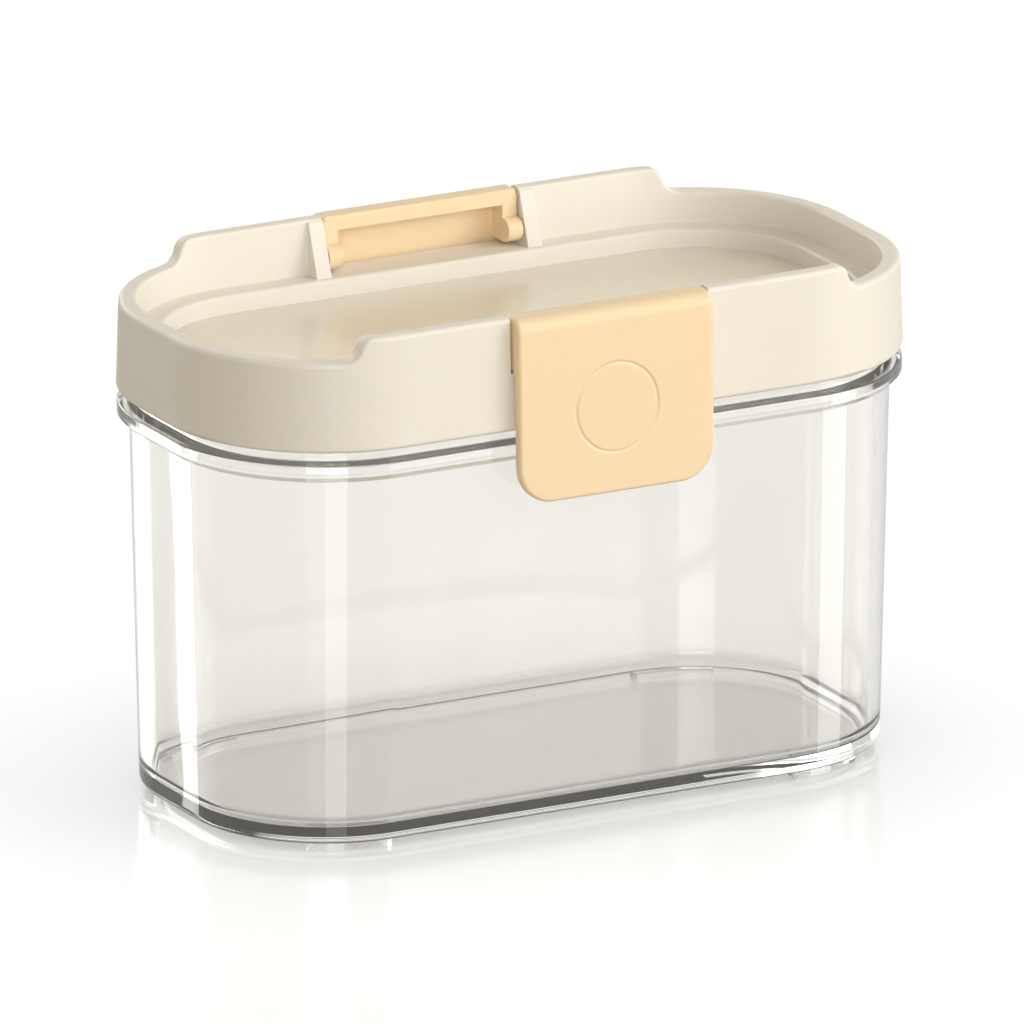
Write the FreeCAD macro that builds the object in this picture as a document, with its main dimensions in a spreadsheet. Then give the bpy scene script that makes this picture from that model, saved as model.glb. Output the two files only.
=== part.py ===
import FreeCAD, Part
import math
import os
import Sketcher

# A clear food container with a latching lid.
# Frame: millimetres, X along the long side, the front is -Y, Z up, z = 0 under the feet.
# An "inset" is a distance inwards from the lid skirt's bottom outline, the widest outline of the mouldings.

SIZES = {
    # Lid outline
    "lid_length": 150.0,
    "lid_width": 79.0,
    "lid_corner": 32.0,
    # Heights, stacked from the table up
    "foot_height": 1.5,
    "wall_height": 71.4,
    "flange_thickness": 3.4,
    "neck_height": 9.1,
    "seal_thickness": 2.5,
    "roof_thickness": 1.9,
    "rim_height": 6.1,
    "wing_rise": 4.6,
    "skirt_gap": 2.4,
    # Bin
    "base_inset": 4.0,
    "wall_top_inset": 2.4,
    "wall_thickness": 2.3,
    "floor_thickness": 2.6,
    "flange_inset": 0.1,
    "flange_chamfer": 1.1,
    "flange_round": 0.5,
    "neck_inset": 3.4,
    "neck_thickness": 1.6,
    "base_round": 2.0,
    "floor_round": 3.0,
    "foot_inset": 2.2,
    "foot_width": 3.0,
    "foot_sweep": 36.0,
    # Lid frame
    "lid_draft": 0.65,
    "rim_thickness": 3.1,
    "recess_draft": 0.4,
    "ledge_width": 4.5,
    "well_draft": 0.4,
    "skirt_thickness": 2.6,
    "plug_thickness": 1.2,
    "plug_reach": 4.2,
    "rim_round": 1.0,
    "rim_inner_round": 0.7,
    "skirt_round": 0.8,
    "ledge_round": 0.8,
    "wing_end": 20.5,
    "wing_run": 5.8,
    "post_width": 3.0,
    "post_depth": 3.6,
    "post_head": 0.5,
    # Window and seal
    "window_sink": 3.5,
    "window_thickness": 1.8,
    "window_seat": 1.6,
    "window_clearance": 0.1,
    "seal_clearance": 0.3,
    "seal_round": 0.5,
    # Latches
    "latch_width": 41.0,
    "latch_side_clearance": 0.4,
    "latch_gap": 0.8,
    "latch_thickness": 1.8,
    "latch_drop": 13.8,
    "latch_corner": 7.0,
    "latch_top_round": 2.8,
    "latch_edge_round": 0.7,
    "lip_depth": 2.9,
    "lip_thickness": 1.6,
    "lip_round": 0.6,
    "ring_diameter": 18.0,
    "ring_width": 0.9,
    "ring_depth": 0.3,
    "ring_rise": 2.6,
    "ear_width": 3.0,
    "ear_head": 1.0,
    "return_width": 1.8,
    "return_drop": 0.4,
    "return_clearance": 0.35,
    "knuckle_radius": 2.3,
    "pivot_height": 3.0,
    "pivot_radius": 1.5,
    "pivot_length": 2.0,
    "pivot_clearance": 0.05,
    "pivot_end_clearance": 0.3,
    "hook_width": 28.0,
    "hook_bite": 1.5,
    "hook_clearance": 0.3,
    "hook_height": 2.2,
    # How far a cut runs past the surface that it leaves
    "overrun": 1.0,
}
S_CURVE_SHARE = 0.45

doc = FreeCAD.newDocument("food_container")
sheet = doc.addObject("Spreadsheet::Sheet", "sizes")
for row, (alias, value) in enumerate(SIZES.items(), start=1):
    sheet.set(f"A{row}", alias)
    sheet.set(f"B{row}", str(value))
    sheet.setAlias(f"B{row}", alias)
doc.recompute()

# Heights above the table
FLOOR = "(sizes.foot_height + sizes.floor_thickness)"
FLANGE_UNDER = "(sizes.foot_height + sizes.wall_height)"
FLANGE_TOP = f"({FLANGE_UNDER} + sizes.flange_thickness)"
NECK_TOP = f"({FLANGE_TOP} + sizes.neck_height)"
ROOF = f"({NECK_TOP} + sizes.seal_thickness)"
LEDGE = f"({ROOF} + sizes.roof_thickness)"
RIM_TOP = f"({LEDGE} + sizes.rim_height)"
WING_TOP = f"({RIM_TOP} + sizes.wing_rise)"
SKIRT_BOTTOM = f"({FLANGE_TOP} + sizes.skirt_gap)"
WINDOW_TOP = f"({LEDGE} - sizes.window_sink)"
PLUG_BOTTOM = f"({WINDOW_TOP} - sizes.plug_reach)"
PIVOT_UP = f"({LEDGE} + sizes.pivot_height)"

# Insets of the lid's walls
WING_INSIDE = "(sizes.lid_draft + sizes.rim_thickness)"
RECESS_FOOT = f"({WING_INSIDE} + sizes.recess_draft)"
WELL_TOP = f"({RECESS_FOOT} + sizes.ledge_width)"
WELL_FOOT = f"({WELL_TOP} + sizes.well_draft)"
WINDOW_POCKET = f"({WELL_FOOT} - sizes.window_seat)"
PLUG_OUTSIDE = f"({WINDOW_POCKET} - sizes.plug_thickness)"
PIVOT_OUT = f"(sizes.lid_width / 2 - {RECESS_FOOT})"
POST_NEAR = "(sizes.latch_width / 2 + sizes.latch_side_clearance)"
LID_SLOPE = f"(sizes.lid_draft / ({WING_TOP} - {SKIRT_BOTTOM}))"


def number(expression):
    """The value of an expression of the sheet's cells."""
    return float(sheet.evalExpression(expression))


def plane(body, role):
    """One of a body's own origin planes."""
    return next(feature for feature in body.Origin.OriginFeatures if feature.Role == role)


def new_sketch(body, name, role, offset="0"):
    """An empty sketch on an origin plane, moved along the plane's normal by an expression."""
    sketch = body.newObject("Sketcher::SketchObject", name)
    sketch.AttachmentSupport = [(plane(body, role), "")]
    sketch.MapMode = "FlatFace"
    sketch.setExpression("AttachmentOffset.Base.z", offset)
    return sketch


def bind_point(sketch, curve, end, across, along):
    """Ties a curve's end to two expressions, measured from the sketch's origin."""
    for kind, axis, expression in (("DistanceX", -2, across), ("DistanceY", -1, along)):
        if expression == "0":
            sketch.addConstraint(Sketcher.Constraint("PointOnObject", curve, end, axis))
            continue
        limit = Sketcher.Constraint(kind, curve, end, number(expression))
        index = sketch.addConstraint(limit)
        sketch.setExpression(f"Constraints[{index}]", expression)


def arc_between(here, there, radius, turn):
    """The arc of under a half circle from here to there, turning left (1) or right (-1)."""
    chord = there - here
    half = chord.Length / 2
    rise = math.sqrt(max(radius * radius - half * half, 0.0))
    left = FreeCAD.Vector(-chord.y, chord.x, 0) / chord.Length
    centre = (here + there) / 2 + left * (turn * rise)
    first, last = (here, there) if turn > 0 else (there, here)
    start = math.atan2(first.y - centre.y, first.x - centre.x)
    stop = math.atan2(last.y - centre.y, last.x - centre.x)
    circle = Part.Circle(centre, FreeCAD.Vector(0, 0, 1), radius)
    return Part.ArcOfCircle(circle, start, stop)


def closed_outline(sketch, corners, arcs=None):
    """Draws a closed outline through bound corners; arcs maps a side to (radius, turn)."""
    arcs = arcs or {}
    first = sketch.GeometryCount
    count = len(corners)
    spots = [FreeCAD.Vector(number(across), number(along), 0) for across, along in corners]
    starts = []
    for side in range(count):
        here = spots[side]
        there = spots[(side + 1) % count]
        if side in arcs:
            radius, turn = arcs[side]
            sketch.addGeometry(arc_between(here, there, number(radius), turn))
            starts.append(1 if turn > 0 else 2)
        else:
            sketch.addGeometry(Part.LineSegment(here, there))
            starts.append(1)
    for side in range(count):
        following = (side + 1) % count
        end = 3 - starts[side]
        joint = Sketcher.Constraint("Coincident", first + side, end, first + following, starts[following])
        sketch.addConstraint(joint)
    for side, (across, along) in enumerate(corners):
        bind_point(sketch, first + side, starts[side], across, along)
    for side, (radius, turn) in arcs.items():
        index = sketch.addConstraint(Sketcher.Constraint("Radius", first + side, number(radius)))
        sketch.setExpression(f"Constraints[{index}]", radius)


def rounded_outline(sketch, inset):
    """The lid's rounded outline, moved inwards by an inset."""
    straight_x = "(sizes.lid_length / 2 - sizes.lid_corner)"
    straight_y = "(sizes.lid_width / 2 - sizes.lid_corner)"
    half_x = f"(sizes.lid_length / 2 - {inset})"
    half_y = f"(sizes.lid_width / 2 - {inset})"
    corners = [
        (f"-{straight_x}", f"-{half_y}"), (straight_x, f"-{half_y}"),
        (half_x, f"-{straight_y}"), (half_x, straight_y),
        (straight_x, half_y), (f"-{straight_x}", half_y),
        (f"-{half_x}", straight_y), (f"-{half_x}", f"-{straight_y}"),
    ]
    radius = f"(sizes.lid_corner - {inset})"
    closed_outline(sketch, corners, {side: (radius, 1) for side in (1, 3, 5, 7)})


def ring_sketch(body, name, height, *insets):
    """A level sketch of one or more rounded outlines."""
    sketch = new_sketch(body, name, "XY_Plane", height)
    for inset in insets:
        rounded_outline(sketch, inset)
    return sketch


def extrude(body, kind, name, sketch, length, side="One side", reverse=False):
    """A pad or a pocket; a pocket that removes nothing is an error."""
    doc.recompute()
    before = body.Shape.Volume if kind == "Pocket" else math.inf
    feature = body.newObject(f"PartDesign::{kind}", name)
    feature.Profile = sketch
    feature.setExpression("Length", length)
    feature.SideType = side
    feature.Reversed = reverse
    doc.recompute()
    if feature.Shape.Volume >= before:
        raise RuntimeError(f"{name} cuts nothing")
    return feature


def loft(body, kind, name, lower, upper):
    """A straight-sided loft between two level sketches."""
    feature = body.newObject(f"PartDesign::{kind}Loft", name)
    feature.Profile = lower
    feature.Sections = [upper]
    feature.Ruled = True
    doc.recompute()
    return feature


def mirror_sides(body, name, originals):
    """The same features again on the other side of the body's YZ plane."""
    feature = body.newObject("PartDesign::Mirrored", name)
    feature.Originals = originals
    feature.MirrorPlane = (plane(body, "YZ_Plane"), [""])
    body.Tip = feature
    doc.recompute()
    return feature


def samples(edge, count=9):
    """Points spread along an edge, its ends among them."""
    return edge.discretize(Number=count)


def dress(body, kind, name, size, wanted):
    """A fillet or chamfer on every edge of the body whose points all satisfy wanted."""
    base = body.Tip
    edges = [
        f"Edge{index}" for index, edge in enumerate(base.Shape.Edges, start=1)
        if all(wanted(point) for point in samples(edge))
    ]
    feature = body.newObject(f"PartDesign::{kind}", name)
    feature.Base = (base, edges)
    feature.setExpression("Size" if kind == "Chamfer" else "Radius", size)
    doc.recompute()
    if not edges or not feature.Shape.isValid():
        raise RuntimeError(f"{name} found {len(edges)} edges")
    return feature


def inset_of(point):
    """How far a point lies inside the lid's outline, seen from above."""
    corner = number("sizes.lid_corner")
    over_x = abs(point.x) - (number("sizes.lid_length") / 2 - corner)
    over_y = abs(point.y) - (number("sizes.lid_width") / 2 - corner)
    outside = math.hypot(max(over_x, 0.0), max(over_y, 0.0))
    return corner - outside - min(max(over_x, over_y), 0.0)


def close_to(value, target):
    """Whether a measured length is the target one, well inside any of the sizes."""
    return abs(value - target) < number("sizes.window_clearance") / 2


def new_body(label):
    """An empty body that names its own file."""
    body = doc.addObject("PartDesign::Body", label)
    body.Label = label
    return body


def make_bin():
    """Tapered clear walls with a flange, a neck for the lid and four shallow corner feet."""
    body = new_body("bin")
    base_z = number("sizes.foot_height")
    floor_z = number(FLOOR)
    flange_under = number(FLANGE_UNDER)
    flange_top = number(FLANGE_TOP)
    flange_inset = number("sizes.flange_inset")
    base_inset = number("sizes.base_inset")
    floor_inset = number("sizes.base_inset + sizes.wall_thickness")

    foot = ring_sketch(body, "wall_foot", "sizes.foot_height", "sizes.base_inset")
    head = ring_sketch(body, "wall_head", FLANGE_UNDER, "sizes.wall_top_inset")
    loft(body, "Additive", "wall", foot, head)
    flange = ring_sketch(body, "flange_outline", FLANGE_UNDER, "sizes.flange_inset")
    extrude(body, "Pad", "flange", flange, "sizes.flange_thickness")
    neck = ring_sketch(body, "neck_outline", FLANGE_TOP, "sizes.neck_inset")
    extrude(body, "Pad", "neck", neck, "sizes.neck_height")

    # The wall's draft runs on through the neck, so that the moulding leaves its core.
    cavity_foot = ring_sketch(body, "cavity_foot", FLOOR, "(sizes.base_inset + sizes.wall_thickness)")
    cavity_head = ring_sketch(body, "cavity_head", NECK_TOP, "(sizes.neck_inset + sizes.neck_thickness)")
    loft(body, "Subtractive", "cavity", cavity_foot, cavity_head)

    def on_flange_under(point):
        return close_to(point.z, flange_under) and close_to(inset_of(point), flange_inset)

    def on_flange_top(point):
        return close_to(point.z, flange_top) and close_to(inset_of(point), flange_inset)

    def on_base(point):
        return close_to(point.z, base_z) and close_to(inset_of(point), base_inset)

    def on_floor(point):
        return close_to(point.z, floor_z) and close_to(inset_of(point), floor_inset)

    dress(body, "Chamfer", "flange_slope", "sizes.flange_chamfer", on_flange_under)
    dress(body, "Fillet", "flange_edge", "sizes.flange_round", on_flange_top)
    dress(body, "Fillet", "base_edge", "sizes.base_round", on_base)
    dress(body, "Fillet", "floor_edge", "sizes.floor_round", on_floor)

    feet = new_sketch(body, "feet_outline", "XY_Plane", "sizes.foot_height")
    outer = "(sizes.lid_corner - sizes.base_inset - sizes.foot_inset)"
    inner = f"({outer} - sizes.foot_width)"
    centre_x = "(sizes.lid_length / 2 - sizes.lid_corner)"
    centre_y = "(sizes.lid_width / 2 - sizes.lid_corner)"
    sweep = "(sizes.foot_sweep * 1 deg)"
    for side_x in (-1, 1):
        for side_y in (-1, 1):
            def spot(radius, angle):
                across = f"{side_x} * ({centre_x} + {radius} * sin({angle}))"
                along = f"{side_y} * ({centre_y} + {radius} * cos({angle}))"
                return across, along
            corners = [spot(outer, "0"), spot(outer, sweep), spot(inner, sweep), spot(inner, "0")]
            turn = -side_x * side_y
            closed_outline(feet, corners, {0: (outer, turn), 2: (inner, -turn)})
    extrude(body, "Pad", "feet", feet, "sizes.foot_height", reverse=True)
    return body


def make_lid_frame():
    """One moulding: skirt, rims, raised wings with latch gaps, ledge, well and the seal's channel."""
    body = new_body("lid_frame")
    rim_top = number(RIM_TOP)
    ledge = number(LEDGE)
    skirt_bottom = number(SKIRT_BOTTOM)
    wing_top = number(WING_TOP)
    slope = number(LID_SLOPE)
    recess_slope = number("sizes.recess_draft") / (wing_top - ledge)
    wing_inside = number(WING_INSIDE)

    foot = ring_sketch(body, "block_foot", SKIRT_BOTTOM, "0")
    head = ring_sketch(body, "block_head", WING_TOP, "sizes.lid_draft")
    loft(body, "Additive", "block", foot, head)

    # The ends drop from the wings to the rim in an S of two arcs that meet at one share of the drop.
    ends = new_sketch(body, "end_profile", "XZ_Plane")
    near = "(sizes.lid_length / 2 - sizes.wing_end - sizes.wing_run)"
    far = "(sizes.lid_length / 2 + sizes.overrun)"
    radii = "(sizes.wing_run / sin(2 * atan(sizes.wing_rise / sizes.wing_run)))"
    for side in (-1, 1):
        corners = [
            (f"{side} * {near}", WING_TOP),
            (f"{side} * ({near} + {S_CURVE_SHARE} * sizes.wing_run)",
             f"{WING_TOP} - {S_CURVE_SHARE} * sizes.wing_rise"),
            (f"{side} * ({near} + sizes.wing_run)", RIM_TOP),
            (f"{side} * {far}", RIM_TOP),
            (f"{side} * {far}", f"{WING_TOP} + sizes.overrun"),
            (f"{side} * {near}", f"{WING_TOP} + sizes.overrun"),
        ]
        convex = f"{S_CURVE_SHARE} * {radii}"
        concave = f"(1 - {S_CURVE_SHARE}) * {radii}"
        closed_outline(ends, corners, {0: (convex, -side), 1: (concave, side)})
    extrude(body, "Pocket", "ends", ends, "sizes.lid_width + 2 * sizes.overrun", side="Symmetric")

    def on_outer_top(point):
        outer = slope * (point.z - skirt_bottom)
        above = point.z > rim_top or close_to(point.z, rim_top)
        return above and close_to(inset_of(point), outer)

    def on_skirt_foot(point):
        return close_to(point.z, skirt_bottom) and close_to(inset_of(point), 0)

    dress(body, "Fillet", "outer_round", "sizes.rim_round", on_outer_top)
    dress(body, "Fillet", "skirt_edge", "sizes.skirt_round", on_skirt_foot)

    recess_foot = ring_sketch(body, "recess_foot", LEDGE, RECESS_FOOT)
    recess_head = ring_sketch(body, "recess_head", WING_TOP, WING_INSIDE)
    loft(body, "Subtractive", "recess", recess_foot, recess_head)

    def on_inner_top(point):
        inner = wing_inside + recess_slope * (wing_top - point.z)
        above = point.z > rim_top or close_to(point.z, rim_top)
        return above and close_to(inset_of(point), inner)

    dress(body, "Fillet", "inner_round", "sizes.rim_inner_round", on_inner_top)

    well_foot = ring_sketch(body, "well_foot", WINDOW_TOP, WELL_FOOT)
    well_head = ring_sketch(body, "well_head", LEDGE, WELL_TOP)
    loft(body, "Subtractive", "well", well_foot, well_head)
    under = ring_sketch(body, "under_outline", SKIRT_BOTTOM, "sizes.skirt_thickness")
    extrude(body, "Pocket", "under", under, f"{PLUG_BOTTOM} - {SKIRT_BOTTOM}", reverse=True)
    channel = ring_sketch(body, "channel_outline", PLUG_BOTTOM, "sizes.skirt_thickness", PLUG_OUTSIDE)
    extrude(body, "Pocket", "channel", channel, f"{ROOF} - {PLUG_BOTTOM}", reverse=True)
    seat = ring_sketch(body, "seat_outline", PLUG_BOTTOM, WINDOW_POCKET)
    extrude(body, "Pocket", "seat", seat, "sizes.plug_reach", reverse=True)

    well_top_inset = number(WELL_TOP)

    def on_ledge_edge(point):
        return close_to(point.z, ledge) and close_to(inset_of(point), well_top_inset)

    dress(body, "Fillet", "ledge_edge", "sizes.ledge_round", on_ledge_edge)

    # The latch gaps go right through both wings, down to the ledge.
    gap = new_sketch(body, "gap_outline", "XZ_Plane")
    over = f"{WING_TOP} + sizes.overrun"
    closed_outline(gap, [
        (f"-{POST_NEAR}", LEDGE), (POST_NEAR, LEDGE), (POST_NEAR, over), (f"-{POST_NEAR}", over)])
    extrude(body, "Pocket", "gap", gap, "sizes.lid_width + 2 * sizes.overrun", side="Symmetric")

    # Tapered posts beside each gap, deepest at the ledge.
    posts = new_sketch(body, "post_profile", "YZ_Plane", POST_NEAR)
    middle = f"(sizes.lid_width / 2 - {WING_INSIDE} + sizes.rim_thickness / 2)"
    tip = f"(sizes.lid_width / 2 - {RECESS_FOOT} - sizes.post_depth)"
    wing_face = f"(sizes.lid_width / 2 - {WING_INSIDE} - sizes.recess_draft)"
    low = f"({LEDGE} - sizes.roof_thickness / 2)"
    high = f"({WING_TOP} - sizes.post_head)"
    for side in (-1, 1):
        corners = [
            (f"{side} * {middle}", low), (f"{side} * {tip}", low), (f"{side} * {tip}", LEDGE),
            (f"{side} * {wing_face}", high), (f"{side} * {middle}", high),
        ]
        closed_outline(posts, corners)
    post = extrude(body, "Pad", "posts", posts, "sizes.post_width")
    mirror_sides(body, "other_posts", [post])

    holes = new_sketch(body, "pivot_holes", "YZ_Plane")
    radius = "(sizes.pivot_radius + sizes.pivot_clearance)"
    for side in (-1, 1):
        centre = FreeCAD.Vector(side * number(PIVOT_OUT), number(PIVOT_UP), 0)
        circle = holes.addGeometry(Part.Circle(centre, FreeCAD.Vector(0, 0, 1), number(radius)))
        bind_point(holes, circle, 3, f"{side} * {PIVOT_OUT}", PIVOT_UP)
        index = holes.addConstraint(Sketcher.Constraint("Radius", circle, number(radius)))
        holes.setExpression(f"Constraints[{index}]", radius)
    reach = "2 * (sizes.latch_width / 2 + sizes.pivot_length + sizes.pivot_end_clearance)"
    extrude(body, "Pocket", "holes", holes, reach, side="Symmetric")
    return body


def make_lid_window():
    """The flat panel that is set into the frame's seat from below."""
    body = new_body("lid_window")
    edge = f"({WINDOW_POCKET} + sizes.window_clearance)"
    outline = ring_sketch(body, "window_outline", WINDOW_TOP, edge)
    extrude(body, "Pad", "panel", outline, "sizes.window_thickness", reverse=True)
    return body


def make_seal_ring():
    """The soft ring that the neck's top presses against the channel's roof."""
    body = new_body("seal_ring")
    outer = "(sizes.skirt_thickness + sizes.seal_clearance)"
    inner = f"({PLUG_OUTSIDE} - sizes.seal_clearance)"
    outline = ring_sketch(body, "seal_outline", NECK_TOP, outer, inner)
    extrude(body, "Pad", "ring", outline, "sizes.seal_thickness")
    foot = number(NECK_TOP)
    outer_inset = number(outer)
    inner_inset = number(inner)

    def on_foot(point):
        at_edge = close_to(inset_of(point), outer_inset) or close_to(inset_of(point), inner_inset)
        return close_to(point.z, foot) and at_edge

    dress(body, "Fillet", "lip", "sizes.seal_round", on_foot)
    return body


def latch_face(height, depth="0"):
    """Where the latch plate's inner face stands at a height, less a depth into the plate, from the pivot."""
    return f"-({RECESS_FOOT} + sizes.latch_gap - {LID_SLOPE} * ({height} - {SKIRT_BOTTOM}) + {depth})"


def from_pivot(height):
    """A height above the table, measured from the pivot."""
    return f"({height} - {PIVOT_UP})"


def make_latch(label, facing):
    """A latch built about its own pivot axis, then placed; facing is -1 at the front and 1 at the rear."""
    body = new_body(label)
    foot = f"({SKIRT_BOTTOM} - sizes.latch_drop)"
    under_top = f"({WING_TOP} - sizes.latch_thickness)"
    lip_inside = "sizes.recess_draft"
    lip_outside = "(sizes.recess_draft + sizes.lip_thickness)"
    half_width = number("sizes.latch_width") / 2

    # The plate, its turned-over top and the lip that hangs inside the wing.
    profile = new_sketch(body, "side_profile", "YZ_Plane")
    closed_outline(profile, [
        (latch_face(foot), from_pivot(foot)),
        (latch_face(under_top), from_pivot(under_top)),
        (f"-{lip_outside}", from_pivot(under_top)),
        (f"-{lip_outside}", from_pivot(f"({WING_TOP} - sizes.lip_depth)")),
        (f"-{lip_inside}", from_pivot(f"({WING_TOP} - sizes.lip_depth)")),
        (f"-{lip_inside}", from_pivot(WING_TOP)),
        (latch_face(WING_TOP, "sizes.latch_thickness"), from_pivot(WING_TOP)),
        (latch_face(foot, "sizes.latch_thickness"), from_pivot(foot)),
    ])
    extrude(body, "Pad", "shell", profile, "sizes.latch_width", side="Symmetric")

    top_y = number(latch_face(WING_TOP, "sizes.latch_thickness"))
    top_z = number(from_pivot(WING_TOP))
    foot_z = number(from_pivot(foot))
    lip_y = -number(lip_inside)
    slope = number(LID_SLOPE)

    def on_top_edge(point):
        return close_to(point.y, top_y) and close_to(point.z, top_z)

    def on_lower_corner(point):
        return close_to(abs(point.x), half_width) and close_to(point.z, foot_z)

    def on_lip_edge(point):
        return close_to(point.y, lip_y) and close_to(point.z, top_z)

    def on_outer_border(point):
        on_face = close_to(point.y, top_y + slope * (point.z - top_z))
        return on_face and (point.z < lower_arc_top or close_to(abs(point.x), half_width))

    dress(body, "Fillet", "top_round", "sizes.latch_top_round", on_top_edge)
    dress(body, "Fillet", "lower_corners", "sizes.latch_corner", on_lower_corner)
    dress(body, "Fillet", "lip_edge", "sizes.lip_round", on_lip_edge)
    lower_arc_top = foot_z + number("sizes.latch_corner + sizes.latch_edge_round")
    dress(body, "Fillet", "outer_edge", "sizes.latch_edge_round", on_outer_border)

    # A plain ring with sloped sides, turned into the plate's face about the face's normal.
    ring_up = f"({SKIRT_BOTTOM} + sizes.ring_rise)"
    ring = new_sketch(body, "ring_section", "YZ_Plane")
    ring.AttachmentOffset = FreeCAD.Placement(
        FreeCAD.Vector(0, 0, 0), FreeCAD.Rotation(FreeCAD.Vector(0, 0, 1), -math.degrees(math.atan(slope))))
    ring.setExpression("AttachmentOffset.Base.x", latch_face(ring_up, "sizes.latch_thickness"))
    ring.setExpression("AttachmentOffset.Base.y", from_pivot(ring_up))
    ring.setExpression("AttachmentOffset.Rotation.Angle", f"-atan({LID_SLOPE})")
    ring_outside = "(sizes.ring_diameter / 2)"
    ring_inside = f"({ring_outside} - sizes.ring_width)"
    closed_outline(ring, [
        ("0", ring_outside),
        ("sizes.ring_depth", f"(({ring_outside} + {ring_inside}) / 2)"),
        ("0", ring_inside),
        ("-sizes.overrun", ring_inside),
        ("-sizes.overrun", ring_outside),
    ])
    groove = body.newObject("PartDesign::Groove", "ring_groove")
    groove.Profile = ring
    groove.ReferenceAxis = (ring, ["H_Axis"])
    groove.Angle = 360
    doc.recompute()

    # The hook's sloped top follows the slope under the bin's flange.
    hook = new_sketch(body, "hook_profile", "YZ_Plane")
    into_plate = "sizes.latch_thickness / 2"
    tip_out = f"({RECESS_FOOT} - sizes.flange_inset - sizes.hook_bite)"
    slope_end = f"({RECESS_FOOT} - sizes.flange_inset)"
    slope_top = f"({FLANGE_UNDER} + sizes.flange_chamfer - sizes.hook_clearance)"
    tip_top = f"({slope_top} - sizes.hook_bite)"
    tip_foot = f"({tip_top} - sizes.hook_height)"
    closed_outline(hook, [
        (latch_face(tip_foot, into_plate), from_pivot(f"({tip_foot} - sizes.hook_bite)")),
        (f"-{tip_out}", from_pivot(tip_foot)),
        (f"-{tip_out}", from_pivot(tip_top)),
        (f"-{slope_end}", from_pivot(slope_top)),
        (latch_face(slope_top, into_plate), from_pivot(slope_top)),
    ])
    extrude(body, "Pad", "hook", hook, "sizes.hook_width", side="Symmetric")

    # Ears with round knuckles at both ends, the side returns outside them, and the moulded pivots.
    ear_start = "(sizes.latch_width / 2 - sizes.ear_width)"
    ear = new_sketch(body, "ear_profile", "YZ_Plane", ear_start)
    ear_top = f"({WING_TOP} - sizes.ear_head)"
    into_lip = f"-({lip_inside})"
    knuckle = "sizes.knuckle_radius"
    closed_outline(ear, [
        (latch_face(PIVOT_UP, into_plate), f"-{knuckle}"),
        ("0", f"-{knuckle}"),
        (knuckle, "0"),
        ("0", knuckle),
        (into_lip, knuckle),
        (into_lip, from_pivot(ear_top)),
        (latch_face(ear_top), from_pivot(ear_top)),
    ], {1: (knuckle, 1), 2: (knuckle, 1)})
    ears = extrude(body, "Pad", "ear", ear, "sizes.ear_width")

    return_start = "(sizes.latch_width / 2 - sizes.return_width)"
    side_return = new_sketch(body, "return_profile", "YZ_Plane", return_start)
    return_foot = f"({LEDGE} - sizes.return_drop)"
    return_depth = "(sizes.return_clearance - sizes.latch_gap)"
    closed_outline(side_return, [
        (latch_face(return_foot, into_plate), from_pivot(return_foot)),
        (latch_face(return_foot, return_depth), from_pivot(return_foot)),
        (latch_face(ear_top, return_depth), from_pivot(ear_top)),
        (latch_face(ear_top), from_pivot(ear_top)),
    ])
    returns = extrude(body, "Pad", "side_return", side_return, "sizes.return_width")

    pivot = new_sketch(body, "pivot_circle", "YZ_Plane", ear_start)
    circle = pivot.addGeometry(Part.Circle(
        FreeCAD.Vector(0, 0, 0), FreeCAD.Vector(0, 0, 1), number("sizes.pivot_radius")))
    pivot.addConstraint(Sketcher.Constraint("Coincident", circle, 3, -1, 1))
    index = pivot.addConstraint(Sketcher.Constraint("Radius", circle, number("sizes.pivot_radius")))
    pivot.setExpression(f"Constraints[{index}]", "sizes.pivot_radius")
    pivots = extrude(body, "Pad", "pivot", pivot, "sizes.ear_width + sizes.pivot_length")
    mirror_sides(body, "other_end", [ears, returns, pivots])

    half_turn = 180 if facing > 0 else 0
    body.Placement = FreeCAD.Placement(
        FreeCAD.Vector(0, 0, 0), FreeCAD.Rotation(FreeCAD.Vector(0, 0, 1), half_turn))
    body.setExpression("Placement.Base.y", f"{facing} * {PIVOT_OUT}")
    body.setExpression("Placement.Base.z", PIVOT_UP)
    doc.recompute()
    return body


parts = [
    make_bin(),
    make_lid_frame(),
    make_lid_window(),
    make_seal_ring(),
    make_latch("front_latch", -1),
    make_latch("rear_latch", 1),
]
doc.recompute()

for item in doc.Objects:
    if "Invalid" in item.State or "Error" in item.State:
        raise RuntimeError(f"{item.Name} failed: {item.State}")
for part in parts:
    shape = part.Shape
    if shape.isNull() or not shape.isValid() or len(shape.Solids) != 1:
        raise RuntimeError(f"{part.Label} is not one valid solid")

os.makedirs("parts", exist_ok=True)
for part in parts:
    part.Shape.exportStep(f"parts/{part.Label}.step")
    box = part.Shape.optimalBoundingBox(False, False)
    print(f"{part.Label}: {part.Shape.Volume / 1000:.2f} cm3, {box.XLength:.1f} by {box.YLength:.1f} mm, "
          f"from {box.ZMin:.1f} to {box.ZMax:.1f} mm up")
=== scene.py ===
# %% [markdown]
# # A clear food container with a latching lid
#
# The object is six mouldings: a clear bin, a cream lid frame, a translucent window, a soft seal and two
# peach latches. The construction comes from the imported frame, in metres, and this lesson gives it its looks.
# First the frame is loaded and measured, because everything below is placed by those measures.

import math

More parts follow.
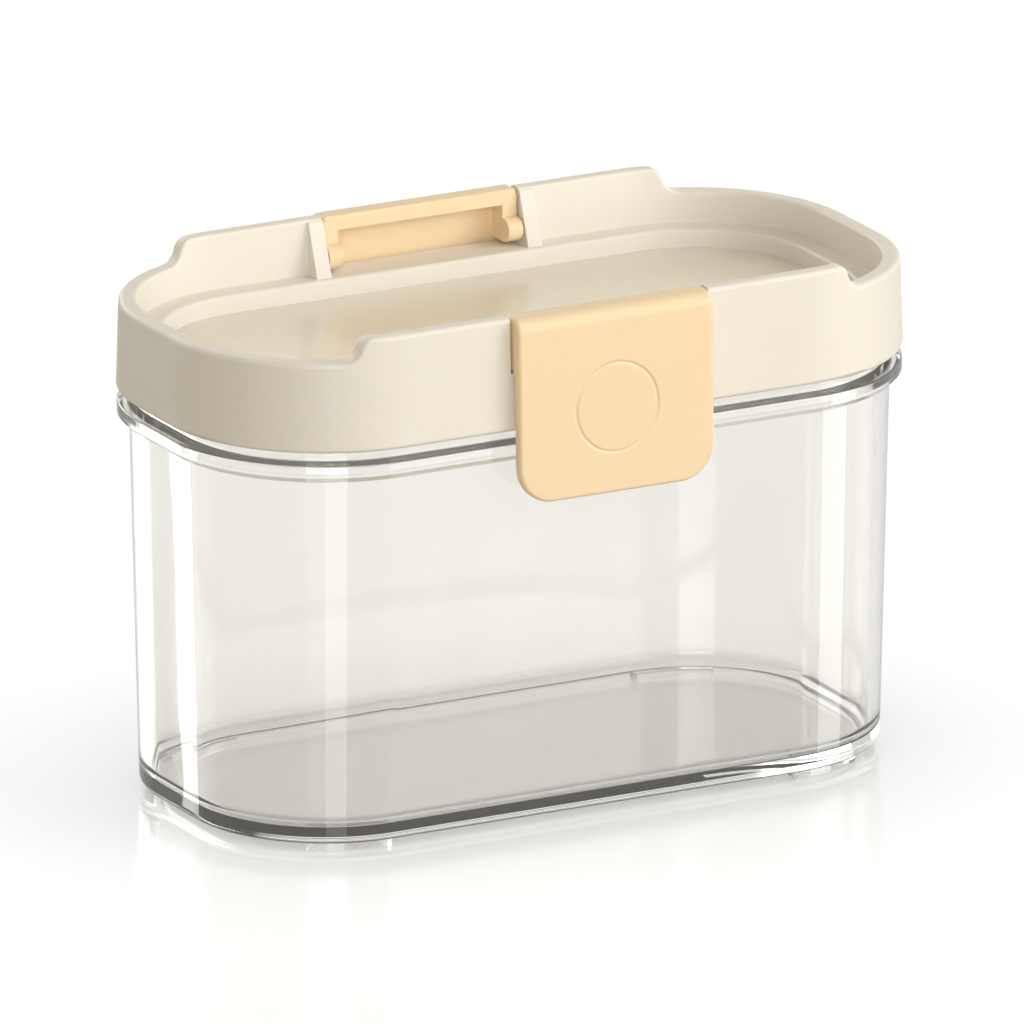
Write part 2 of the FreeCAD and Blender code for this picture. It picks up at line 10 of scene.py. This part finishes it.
import bmesh
import bpy
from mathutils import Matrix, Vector


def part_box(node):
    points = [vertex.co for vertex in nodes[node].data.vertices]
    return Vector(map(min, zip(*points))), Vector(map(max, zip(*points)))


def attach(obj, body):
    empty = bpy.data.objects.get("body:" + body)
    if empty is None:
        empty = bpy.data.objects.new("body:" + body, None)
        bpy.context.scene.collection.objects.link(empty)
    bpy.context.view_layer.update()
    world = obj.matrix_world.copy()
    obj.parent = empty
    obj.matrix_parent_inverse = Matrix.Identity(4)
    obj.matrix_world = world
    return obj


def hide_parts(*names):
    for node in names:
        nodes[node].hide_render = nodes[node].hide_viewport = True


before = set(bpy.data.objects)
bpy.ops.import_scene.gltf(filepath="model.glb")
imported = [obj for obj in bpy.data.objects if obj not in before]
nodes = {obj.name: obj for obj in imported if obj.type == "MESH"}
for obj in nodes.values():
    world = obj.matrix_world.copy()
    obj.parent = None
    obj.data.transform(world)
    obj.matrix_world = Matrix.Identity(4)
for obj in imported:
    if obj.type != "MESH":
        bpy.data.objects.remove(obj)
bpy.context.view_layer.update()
MM = 0.001
for name in sorted(nodes):
    low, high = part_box(name)
    print(name, "is", [round((b - a) / MM, 1) for a, b in zip(low, high)], "mm")

# %% [markdown]
# ## Two small helpers
#
# Colours are written as the sRGB hex values that a colour picker shows. Blender's sockets want linear light,
# so one function converts them. Another adds a node with its settings and its links, for shaders and for
# Geometry Nodes alike.

# %% Helpers for colours and nodes


def linear(code):
    """A hex sRGB colour as linear red, green, blue and a full alpha."""
    values = [int(code[start:start + 2], 16) / 255 for start in (1, 3, 5)]
    return [v / 12.92 if v <= 0.04045 else ((v + 0.055) / 1.055) ** 2.4 for v in values] + [1.0]


def add(tree, kind, links=None, **settings):
    """A new node; settings are its own attributes, links maps an input to a socket or to a plain value."""
    node = tree.nodes.new(kind)
    for name, value in settings.items():
        setattr(node, name, value)
    for name, source in (links or {}).items():
        if isinstance(source, bpy.types.NodeSocket):
            tree.links.new(source, node.inputs[name])
        else:
            node.inputs[name].default_value = source
    return node


print("a middle grey in linear light:", [round(v, 3) for v in linear("#808080")])

# %% [markdown]
# ## Plastics
#
# The lid frame and the latches are polypropylene, moulded in a finely blasted steel cavity: the skin is
# satin, not glossy, and a little light travels inside it, so shaded sides stay warm. A coloured noise would
# look dirty on such clean plastic, so the colour is even, and only the gloss and the skin vary: slow patches
# where the melt flowed, and the grain of the blasted steel. A real grain is about a tenth of a millimetre,
# too fine to show here, so it is drawn about three times as coarse. The seal is soft silicone with a duller
# skin, made by the same function.

# %% Satin plastics
FLOW_PATCH = 9.0 * MM
FLOW_CHANGE = 0.03
GRAIN = 0.35 * MM
RUBBER_GRAIN = 0.8 * MM
GRAIN_STRENGTH = 0.35
NOISE_DETAIL = 2.0
NOISE_LOW = 0.3
NOISE_HIGH = 0.7
SATIN_IOR = 1.49
GLOW_DEPTH = 1.5 * MM
GLOW_REACH = (1.0, 0.8, 0.5)
# The grain breaks up the mirror light, so the sheen is weaker than on polished plastic, where this is 0.5.
SATIN_SHEEN = 0.3


def new_material(name):
    """An empty node material and its tree."""
    material = bpy.data.materials.new(name)
    material.use_nodes = True
    material.node_tree.nodes.clear()
    return material, material.node_tree


def satin_plastic(name, colour, rough, grain, depth, glow):
    """An opaque plastic with a grain of this size and depth and some light travelling inside."""
    material, tree = new_material(name)
    coords = add(tree, "ShaderNodeTexCoord")
    flow = add(tree, "ShaderNodeTexNoise", {
        "Vector": coords.outputs["Object"], "Scale": 1 / FLOW_PATCH, "Detail": NOISE_DETAIL})
    gloss = add(tree, "ShaderNodeMapRange", {
        "Value": flow.outputs["Fac"], "From Min": NOISE_LOW, "From Max": NOISE_HIGH,
        "To Min": rough - FLOW_CHANGE, "To Max": rough + FLOW_CHANGE})
    blasted = add(tree, "ShaderNodeTexNoise", {
        "Vector": coords.outputs["Object"], "Scale": 1 / grain, "Detail": NOISE_DETAIL})
    skin = add(tree, "ShaderNodeBump", {
        "Height": blasted.outputs["Fac"], "Distance": depth, "Strength": GRAIN_STRENGTH})
    shader = add(tree, "ShaderNodeBsdfPrincipled", {
        "Base Color": linear(colour), "Roughness": gloss.outputs[0], "IOR": SATIN_IOR,
        "Specular IOR Level": SATIN_SHEEN, "Subsurface Weight": glow, "Subsurface Radius": GLOW_REACH,
        "Subsurface Scale": GLOW_DEPTH, "Normal": skin.outputs[0]})
    add(tree, "ShaderNodeOutputMaterial", {"Surface": shader.outputs[0]})
    return material


# A warm off-white that stays matt on the flat skirt and shows one soft sheen along the rounded rims.
cream = satin_plastic("cream_polypropylene", "#E7E2D6", rough=0.42, grain=GRAIN, depth=0.02 * MM, glow=0.12)
# A soft orange, a touch glossier than the lid, so the turned-over top of the latch catches a pale line.
peach = satin_plastic("peach_polypropylene", "#F0D8B2", rough=0.36, grain=GRAIN, depth=0.015 * MM, glow=0.12)
# A dull white with no sheen, seen only when the lid is off.
silicone = satin_plastic(
    "white_silicone", "#E9E7E0", rough=0.62, grain=RUBBER_GRAIN, depth=0.01 * MM, glow=0.25)

FINISHES = {"lid_frame": cream, "front_latch": peach, "rear_latch": peach}
for name, material in FINISHES.items():
    nodes[name].material_slots[0].material = material
print("finishes on", len(FINISHES), "mouldings")

# %% [markdown]
# The bin is a polished styrene acrylonitrile, a usual clear plastic for dry food, and the window is the same
# plastic with a frosted side. A refracting shader gives both, with a very shallow sag, because moulded walls
# are never quite flat and the streaks of the lamps wander a little. A refracting wall would block the lamps
# and throw a black shadow, so shadow rays meet a pale tint instead.

# %% Clear plastics
CLEAR_IOR = 1.57
SAG_SIZE = 14.0 * MM
SAG_DEPTH = 0.05 * MM
SAG_STRENGTH = 0.2


def clear_plastic(name, colour, rough, through, shadow):
    """A clear plastic; through is the share of light that passes, shadow the tint of its shadow."""
    material, tree = new_material(name)
    coords = add(tree, "ShaderNodeTexCoord")
    swell = add(tree, "ShaderNodeTexNoise", {
        "Vector": coords.outputs["Object"], "Scale": 1 / SAG_SIZE, "Detail": 0.0})
    sag = add(tree, "ShaderNodeBump", {
        "Height": swell.outputs["Fac"], "Distance": SAG_DEPTH, "Strength": SAG_STRENGTH})
    shader = add(tree, "ShaderNodeBsdfPrincipled", {
        "Base Color": linear(colour), "Roughness": rough, "IOR": CLEAR_IOR, "Transmission Weight": through,
        "Normal": sag.outputs[0]})
    path = add(tree, "ShaderNodeLightPath")
    open_air = add(tree, "ShaderNodeBsdfTransparent", {"Color": linear(shadow)})
    mixed = add(tree, "ShaderNodeMixShader", {
        0: path.outputs["Is Shadow Ray"], 1: shader.outputs[0], 2: open_air.outputs[0]})
    add(tree, "ShaderNodeOutputMaterial", {"Surface": mixed.outputs[0]})
    return material


# Nearly colourless and polished: a faint grey body, dark lines at the flange and white streaks of the lamps.
clear = clear_plastic(
    "clear_styrene_acrylonitrile", "#F0EFEC", rough=0.01, through=0.975, shadow="#F0EFEC")
# A milky panel: light comes through it, shapes do not.
frosted = clear_plastic(
    "frosted_styrene_acrylonitrile", "#F8F2E5", rough=0.18, through=0.4, shadow="#D8D2C4")
print("clear plastics:", clear.name, "and", frosted.name)

# %% [markdown]
# ## One sweep for the bin, the window and the seal
#
# These three mouldings share one rule: a section drawn once is carried round the lid's rounded outline. A
# mould maker cuts it the same way, with a tool that follows the outline. So one Geometry Nodes tree takes
# the section as a bare line of points, rounds each corner by the radius stored on its point, and sweeps it
# along a rounded rectangle. Insets are measured inwards from the lid's outline and heights from the table.

# %% Sweep tree


def sweep_tree():
    """The Geometry Nodes tree that carries a rounded section round a rounded rectangle."""
    tree = bpy.data.node_groups.new("rounded_sweep", "GeometryNodeTree")
    tree.is_modifier = True
    kinds = {"Geometry": "Geometry", "Length": "Float", "Width": "Float", "Corner": "Float",
             "Corner Steps": "Int", "Round Steps": "Int", "Material": "Material"}
    for name, kind in kinds.items():
        tree.interface.new_socket(name, in_out="INPUT", socket_type=f"NodeSocket{kind}")
    tree.interface.new_socket("Geometry", in_out="OUTPUT", socket_type="NodeSocketGeometry")
    given = add(tree, "NodeGroupInput").outputs
    rectangle = add(tree, "GeometryNodeCurvePrimitiveQuadrilateral", {
        "Width": given["Length"], "Height": given["Width"]})
    outline = add(tree, "GeometryNodeFilletCurve", {
        "Curve": rectangle.outputs[0], "Count": given["Corner Steps"],
        "Radius": given["Corner"]}, mode="POLY")
    upright = add(tree, "GeometryNodeSetCurveNormal", {"Curve": outline.outputs[0]}, mode="Z_UP")
    line = add(tree, "GeometryNodeMeshToCurve", {"Mesh": given["Geometry"]})
    radius = add(tree, "GeometryNodeInputNamedAttribute", {"Name": "round"}, data_type="FLOAT")
    section = add(tree, "GeometryNodeFilletCurve", {
        "Curve": line.outputs[0], "Count": given["Round Steps"], "Radius": radius.outputs[0]}, mode="POLY")
    swept = add(tree, "GeometryNodeCurveToMesh", {
        "Curve": upright.outputs[0], "Profile Curve": section.outputs[0]})
    real = add(tree, "GeometryNodeRealizeInstances", {"Geometry": swept.outputs[0]})
    painted = add(tree, "GeometryNodeSetMaterial", {
        "Geometry": real.outputs[0], "Material": given["Material"]})
    add(tree, "NodeGroupOutput", {"Geometry": painted.outputs[0]})
    return tree


SWEEP = sweep_tree()
print("sweep tree has", len(SWEEP.nodes), "nodes")

# %% [markdown]
# The outline is the foot of the lid's skirt, the widest line of the mouldings, and the lid's box gives its
# length and its width. The straight sides of a swept mesh are single long faces next to the short faces of
# the corners, so the normals are weighted by face area, which keeps the flat walls flat.

# %% Sweep and bake
low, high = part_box("lid_frame")
LID_LENGTH = high.x - low.x
LID_WIDTH = high.y - low.y
LID_CORNER = 32.0 * MM
CORNER_STEPS = 25
ROUND_STEPS = 6
MERGE_GAP = 0.001 * MM
SHARP_EDGE = math.radians(40)
print("outline", round(LID_LENGTH / MM, 1), "by", round(LID_WIDTH / MM, 1), "mm, corners", LID_CORNER / MM)


def bake(piece):
    """Turns the result of a piece's modifiers into its own mesh."""
    graph = bpy.context.evaluated_depsgraph_get()
    mesh = bpy.data.meshes.new_from_object(piece.evaluated_get(graph), depsgraph=graph)
    piece.modifiers.clear()
    piece.data = mesh


def sweep(name, section, closed, material):
    """A piece swept from rows of inset, height and corner radius, all in millimetres."""
    mesh = bpy.data.meshes.new(name)
    spots = [(-inset * MM, -height * MM, 0) for inset, height, radius in section]
    count = len(spots)
    edges = [(index, (index + 1) % count) for index in range(count if closed else count - 1)]
    mesh.from_pydata(spots, edges, [])
    rounding = mesh.attributes.new("round", "FLOAT", "POINT")
    rounding.data.foreach_set("value", [radius * MM for inset, height, radius in section])
    piece = bpy.data.objects.new(name, mesh)
    bpy.context.scene.collection.objects.link(piece)
    modifier = piece.modifiers.new("sweep", "NODES")
    modifier.node_group = SWEEP
    values = {"Length": LID_LENGTH, "Width": LID_WIDTH, "Corner": LID_CORNER,
              "Corner Steps": CORNER_STEPS, "Round Steps": ROUND_STEPS, "Material": material}
    for socket in SWEEP.interface.items_tree:
        if socket.name in values:
            modifier[socket.identifier] = values[socket.name]
    bake(piece)
    return piece


def finish_mesh(piece, change=None):
    """Closes the middle of a swept piece, makes a change to its mesh and weights its normals."""
    mesh = piece.data
    work = bmesh.new()
    work.from_mesh(mesh)
    bmesh.ops.remove_doubles(work, verts=work.verts, dist=MERGE_GAP)
    rims = [edge for edge in work.edges if edge.is_boundary]
    bmesh.ops.holes_fill(work, edges=rims)
    if change:
        change(work)
    bmesh.ops.recalc_face_normals(work, faces=work.faces)
    for face in work.faces:
        face.smooth = True
    for edge in work.edges:
        edge.smooth = edge.calc_face_angle(0) < SHARP_EDGE
    work.to_mesh(mesh)
    work.free()
    weighting = piece.modifiers.new("weights", "WEIGHTED_NORMAL")
    weighting.keep_sharp = True
    bake(piece)
    print(piece.name, "has", len(piece.data.polygons), "faces")


# %% [markdown]
# ## The clear bin
#
# The walls lean out by a little over a degree, so that the moulding leaves its core. The flange stiffens the
# mouth, and its sloped underside is what the latch hooks pull against; the neck above it enters the lid.
# Every edge has a small radius, because a sharp edge in a clear moulding cracks, and because that radius is
# the bright or dark line the eye reads as plastic. The section starts under the middle of the floor and ends
# on top of it. All sizes here are in millimetres.

# %% Bin
FOOT = 1.5
FLOOR_TOP = 4.1
FLANGE_UNDER = 72.9
FLANGE_TOP = 76.3
FLANGE_INSET = 0.1
FLANGE_SLOPE = 1.1
WALL_FOOT_INSET = 4.0
WALL_HEAD_INSET = 2.4
NECK_INSET = 3.4
MOUTH_INSET = 5.0
FLOOR_INSET = 6.3
BASE_ROUND = 2.0
FLOOR_ROUND = 3.0
EDGE_ROUND = 0.4
SLOPE_ROUND = 0.2
FOOT_OUTSIDE = 6.2
FOOT_INSIDE = 9.2
FOOT_STEPS = 10
UNDERSIDE_BAND = 0.1
MIDDLE = 24.0

neck_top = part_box("bin")[1].z / MM
bin_section = [
    (MIDDLE, FOOT, 0), (FOOT_INSIDE, FOOT, 0), (FOOT_OUTSIDE, FOOT, 0), (WALL_FOOT_INSET, FOOT, BASE_ROUND),
    (WALL_HEAD_INSET, FLANGE_UNDER, EDGE_ROUND), (FLANGE_INSET + FLANGE_SLOPE, FLANGE_UNDER, SLOPE_ROUND),
    (FLANGE_INSET, FLANGE_UNDER + FLANGE_SLOPE, EDGE_ROUND), (FLANGE_INSET, FLANGE_TOP, EDGE_ROUND),
    (NECK_INSET, FLANGE_TOP, EDGE_ROUND), (NECK_INSET, neck_top, EDGE_ROUND),
    (MOUTH_INSET, neck_top, EDGE_ROUND), (FLOOR_INSET, FLOOR_TOP, FLOOR_ROUND), (MIDDLE, FLOOR_TOP, 0),
]
clear_bin = sweep("clear_bin", bin_section, False, clear)


def add_feet(work):
    """Presses four shallow arcs down out of the underside, each next to a long side."""
    straight_x = LID_LENGTH / 2 - LID_CORNER
    straight_y = LID_WIDTH / 2 - LID_CORNER
    near = LID_CORNER - FOOT_INSIDE * MM
    far = LID_CORNER - FOOT_OUTSIDE * MM
    sweep_angle = FOOT_STEPS * math.pi / 2 / CORNER_STEPS
    chosen = []
    for face in work.faces:
        middle = face.calc_center_median()
        across = abs(middle.x) - straight_x
        along = abs(middle.y) - straight_y
        in_ring = near < math.hypot(across, along) < far
        in_sweep = across > 0 and 0 < math.atan2(across, along) < sweep_angle
        if in_ring and in_sweep and abs(middle.z - FOOT * MM) < UNDERSIDE_BAND * MM:
            chosen.append(face)
    grown = bmesh.ops.extrude_face_region(work, geom=chosen)["geom"]
    bmesh.ops.delete(work, geom=chosen, context="FACES_ONLY")
    lowered = [item for item in grown if isinstance(item, bmesh.types.BMVert)]
    bmesh.ops.translate(work, verts=lowered, vec=(0, 0, -FOOT * MM))
    print("feet from", len(chosen), "faces")


finish_mesh(clear_bin, add_feet)
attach(clear_bin, "bin")
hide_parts("bin")

# %% [markdown]
# ## The window
#
# A flat panel is dropped into the frame from below and welded. Only its top shows, so the rounded edge
# matters when the lid is lifted and seen from under.

# %% Window
low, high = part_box("lid_window")
window_edge = (LID_LENGTH / 2 - high.x) / MM
under, over = low.z / MM, high.z / MM
window_section = [
    (MIDDLE, under, 0), (window_edge, under, EDGE_ROUND), (window_edge, over, EDGE_ROUND), (MIDDLE, over, 0),
]
window_panel = sweep("window_panel", window_section, False, frosted)
finish_mesh(window_panel)
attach(window_panel, "lid")
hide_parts("lid_window")

# %% [markdown]
# ## The seal
#
# The ring is cast in silicone and pushed into the channel of the lid. Ribs on both sides grip the channel,
# and the flat foot is what the bin's neck presses on. It shows when the lid is off.

# %% Seal
low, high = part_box("seal_ring")
outside = (LID_LENGTH / 2 - high.x) / MM
SEAL_WIDTH = 3.05
RIB_DEPTH = 0.4
SEAL_FOOT = 0.9
SEAL_HEAD = 0.7
RIB_SLOPE = 0.2
RIB_ROUND = 0.2
SEAL_ROUND = 0.4
foot = low.z / MM
head = high.z / MM
inside = outside + SEAL_WIDTH
side_heights = [
    (0, foot, SEAL_ROUND), (0, foot + SEAL_FOOT, RIB_ROUND),
    (RIB_DEPTH, foot + SEAL_FOOT + RIB_SLOPE, RIB_ROUND),
    (RIB_DEPTH, head - SEAL_HEAD - RIB_SLOPE, RIB_ROUND),
    (0, head - SEAL_HEAD, RIB_ROUND), (0, head, SEAL_ROUND),
]
outer_side = [(outside + depth, height, radius) for depth, height, radius in side_heights]
inner_side = [(inside - depth, height, radius) for depth, height, radius in reversed(side_heights)]
seal_section = outer_side + inner_side
soft_seal = sweep("soft_seal", seal_section, True, silicone)
finish_mesh(soft_seal)
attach(soft_seal, "lid")
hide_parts("seal_ring")

# %% [markdown]
# ## Camera
#
# The photograph was taken with a very long lens: the long edges of the lid hardly converge. So the camera
# stands five metres away, turned 28 degrees to the left of the front and 17 degrees up, and the lens is
# worked out from how many pixels one millimetre covers in the 1024 pixel picture.

# %% Camera at the photograph's angle
AZIMUTH = math.radians(-28.2)
ELEVATION = math.radians(17.1)
DISTANCE = 5.0
PIXELS_PER_MM = 5.35
PICTURE_PIXELS = 1024
AIM_HEIGHT = 53.1 * MM
AIM_RIGHT = 0.31 * MM
AIM_UP = -3.43 * MM

right = Vector((math.cos(AZIMUTH), math.sin(AZIMUTH), 0))
back = Vector((math.sin(AZIMUTH) * math.cos(ELEVATION),
               -math.cos(AZIMUTH) * math.cos(ELEVATION), math.sin(ELEVATION)))
up = back.cross(right)
aim = Vector((0, 0, AIM_HEIGHT)) + right * AIM_RIGHT + up * AIM_UP

camera_data = bpy.data.cameras.new("camera")
camera = bpy.data.objects.new("camera", camera_data)
bpy.context.scene.collection.objects.link(camera)
camera.location = aim + back * DISTANCE
camera.rotation_euler = back.to_track_quat("Z", "Y").to_euler()
camera_data.lens = camera_data.sensor_width * PIXELS_PER_MM / MM * DISTANCE / PICTURE_PIXELS
camera_data.clip_end = 2 * DISTANCE
bpy.context.scene.camera = camera
bpy.context.scene.view_settings.view_transform = "Standard"
print("lens", round(camera_data.lens), "mm at", DISTANCE, "m")

# %% [markdown]
# ## Studio
#
# Rays that see the background see white. A clear plastic only shows its edges if some directions are darker
# than others, so for reflected and bent rays the world dims towards the zenith and below the table: the
# flange and the base, which bend the view up or down, then draw themselves as grey lines. Matt surfaces get
# only a weak warm light from it, so that the lamps do the shading.

# %% World
world = bpy.data.worlds.new("studio")
bpy.context.scene.world = world
world.use_nodes = True
tree = world.node_tree
tree.nodes.clear()
ZENITH_GREY = 0.35
ZENITH_FADE = (0.2, 0.9)
NADIR_GREY = 0.6
NADIR_FADE = (-0.05, -0.3)
AMBIENT = 0.13
WARM_SHADE = "#FFECC4"
coords = add(tree, "ShaderNodeTexCoord")
height = add(tree, "ShaderNodeSeparateXYZ", {0: coords.outputs["Generated"]})
upper = add(tree, "ShaderNodeMapRange", {
    "Value": height.outputs["Z"], "From Min": ZENITH_FADE[0], "From Max": ZENITH_FADE[1],
    "To Min": 1.0, "To Max": ZENITH_GREY})
lower = add(tree, "ShaderNodeMapRange", {
    "Value": height.outputs["Z"], "From Min": NADIR_FADE[0], "From Max": NADIR_FADE[1],
    "To Min": 1.0, "To Max": NADIR_GREY})
fade = add(tree, "ShaderNodeMath", {0: upper.outputs[0], 1: lower.outputs[0]}, operation="MINIMUM")
path = add(tree, "ShaderNodeLightPath")
mirrored = add(tree, "ShaderNodeBackground", {"Color": (1, 1, 1, 1), "Strength": fade.outputs[0]})
ambient = add(tree, "ShaderNodeBackground", {"Color": linear(WARM_SHADE), "Strength": AMBIENT})
white = add(tree, "ShaderNodeBackground", {"Color": (1, 1, 1, 1), "Strength": 1.0})
indirect = add(tree, "ShaderNodeMixShader", {
    0: path.outputs["Is Diffuse Ray"], 1: mirrored.outputs[0], 2: ambient.outputs[0]})
studio = add(tree, "ShaderNodeMixShader", {
    0: path.outputs["Is Camera Ray"], 1: indirect.outputs[0], 2: white.outputs[0]})
add(tree, "ShaderNodeOutputWorld", {"Surface": studio.outputs[0]})
print("world is white to the camera, and dims to", ZENITH_GREY, "overhead and", NADIR_GREY, "below")

# %% [markdown]
# The table is a glossy white sheet that mirrors the bin softly. Most of its whiteness is its own glow, so
# cast shadows stay faint, as in the photograph, and the glow dims where the bin stands close: a painted
# contact shadow, the soft dark line of contact. The sheet does not show in reflections, because the walls of
# the bin look down at it and would lose the streaks of the lamps. What matt surfaces get back from it is a
# warm bounce of its own strength.

# %% Floor
TABLE_SIZE = 6.0
TABLE_GLOW = 0.64
CONTACT_GLOW = 0.15
CONTACT_REACH = 60 * MM
CONTACT_SAMPLES = 8
TABLE_BOUNCE = 0.36
TABLE_GREY = 0.3
TABLE_ROUGH = 0.12
TABLE_IOR = 1.6
bpy.ops.mesh.primitive_plane_add(size=TABLE_SIZE)
floor = bpy.context.object
floor.name = "floor"
floor.visible_glossy = False
sheet, tree = new_material("glossy_white_sheet")
path = add(tree, "ShaderNodeLightPath")
# Painted contact shadow: ambient occlusion dims the table's glow close to the bin.
closeness = add(tree, "ShaderNodeAmbientOcclusion", {"Distance": CONTACT_REACH}, samples=CONTACT_SAMPLES)
glow = add(tree, "ShaderNodeMapRange", {
    "Value": closeness.outputs["AO"], "To Min": CONTACT_GLOW, "To Max": TABLE_GLOW})
skin = add(tree, "ShaderNodeBsdfPrincipled", {
    "Base Color": (TABLE_GREY, TABLE_GREY, TABLE_GREY, 1), "Roughness": TABLE_ROUGH, "IOR": TABLE_IOR,
    "Emission Color": (1, 1, 1, 1), "Emission Strength": glow.outputs[0]})
bounce = add(tree, "ShaderNodeEmission", {"Color": linear(WARM_SHADE), "Strength": TABLE_BOUNCE})
mixed = add(tree, "ShaderNodeMixShader", {
    0: path.outputs["Is Diffuse Ray"], 1: skin.outputs[0], 2: bounce.outputs[0]})
add(tree, "ShaderNodeOutputMaterial", {"Surface": mixed.outputs[0]})
floor.data.materials.append(sheet)
print("floor glows", TABLE_GLOW, "in the open and", CONTACT_GLOW, "under the bin")

# %% [markdown]
# Two softboxes light the front and the right end, one stands behind, and a weak warm one hangs overhead. The
# key, on the right, is the largest, so that its mirror image does not burn out the window from behind. The
# one behind is turned so that the table mirrors it beside the bin, not through it. Three tall strips are
# there for the reflections: they reach below the table's level because the walls of the bin, seen from above,
# reflect what lies lower than the camera. Each strip stands where the photograph's streak needs it.

# %% Lamps
TARGET = Vector((0, 0, AIM_HEIGHT))
BOX_DISTANCE = 1.5
STRIP_DISTANCE = 1.3
STRIP_TALL = 2.4


def softbox(name, turn, rise, distance, width, tall, power, colour="#FFFFFF"):
    """A rectangular lamp facing the object, turn degrees right of the front and rise degrees up."""
    data = bpy.data.lights.new(name, "AREA")
    data.shape = "RECTANGLE"
    data.size = width
    data.size_y = tall
    data.energy = power
    data.color = linear(colour)[:3]
    lamp = bpy.data.objects.new(name, data)
    bpy.context.scene.collection.objects.link(lamp)
    across = math.radians(turn)
    above = math.radians(rise)
    away = Vector((math.sin(across) * math.cos(above), -math.cos(across) * math.cos(above), math.sin(above)))
    lamp.location = TARGET + away * distance
    lamp.rotation_euler = away.to_track_quat("Z", "Y").to_euler()


softbox("key_softbox", turn=46, rise=26, distance=BOX_DISTANCE, width=1.4, tall=1.4, power=14.5)
softbox("front_softbox", turn=-28, rise=18, distance=BOX_DISTANCE, width=0.8, tall=0.8, power=8.3)
softbox("back_softbox", turn=184, rise=22, distance=BOX_DISTANCE, width=0.9, tall=0.7, power=8)
softbox("overhead_softbox", turn=0, rise=88, distance=BOX_DISTANCE, width=0.9, tall=0.7, power=1.9,
        colour=WARM_SHADE)
# Each strip has its turn in degrees, its width in metres and its power in watts.
STRIPS = ((54, 0.5, 9.5), (-22, 0.36, 3), (-145.9, 0.2, 5.3))
for turn, width, power in STRIPS:
    softbox(f"strip_at_{turn:.0f}", turn, 0, STRIP_DISTANCE, width, STRIP_TALL, power)
